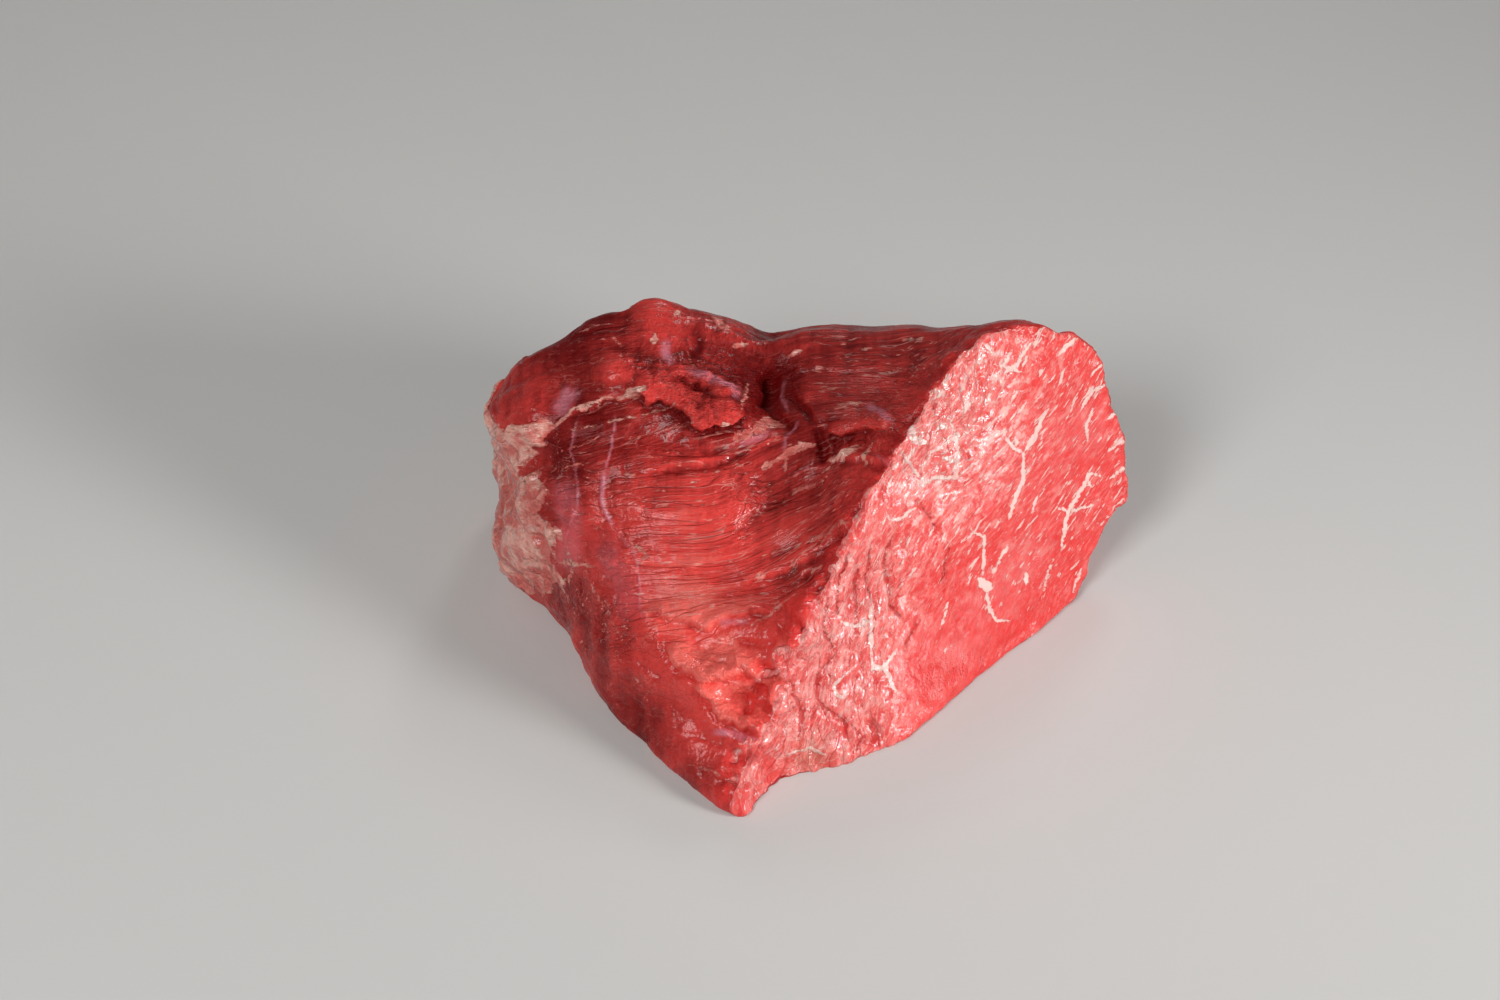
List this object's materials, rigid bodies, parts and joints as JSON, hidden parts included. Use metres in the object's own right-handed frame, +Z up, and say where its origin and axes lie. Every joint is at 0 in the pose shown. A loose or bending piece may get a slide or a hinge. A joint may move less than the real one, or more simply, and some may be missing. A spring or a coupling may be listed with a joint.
{
  "type": "raw beef roast",
  "caption": "Raw beef roast: a wedge of marbled muscle with one clean butcher's cut, a blunt fat-capped end and a flat underside.",
  "frame": {"origin": "on the surface it lies on, under the middle of the whole piece", "axes": "+Z up, +X along its longest side towards the butcher's cut, +Y away from the viewer of the picture to the back"},
  "size_m": [0.1926, 0.1512, 0.0866],
  "materials": {
    "raw_beef": "raw muscle, moist and softly glossy, with cream fat and violet-white silverskin"
  },
  "bodies": {
    "root": {"beef": "raw_beef"}
  },
  "joints": []
}
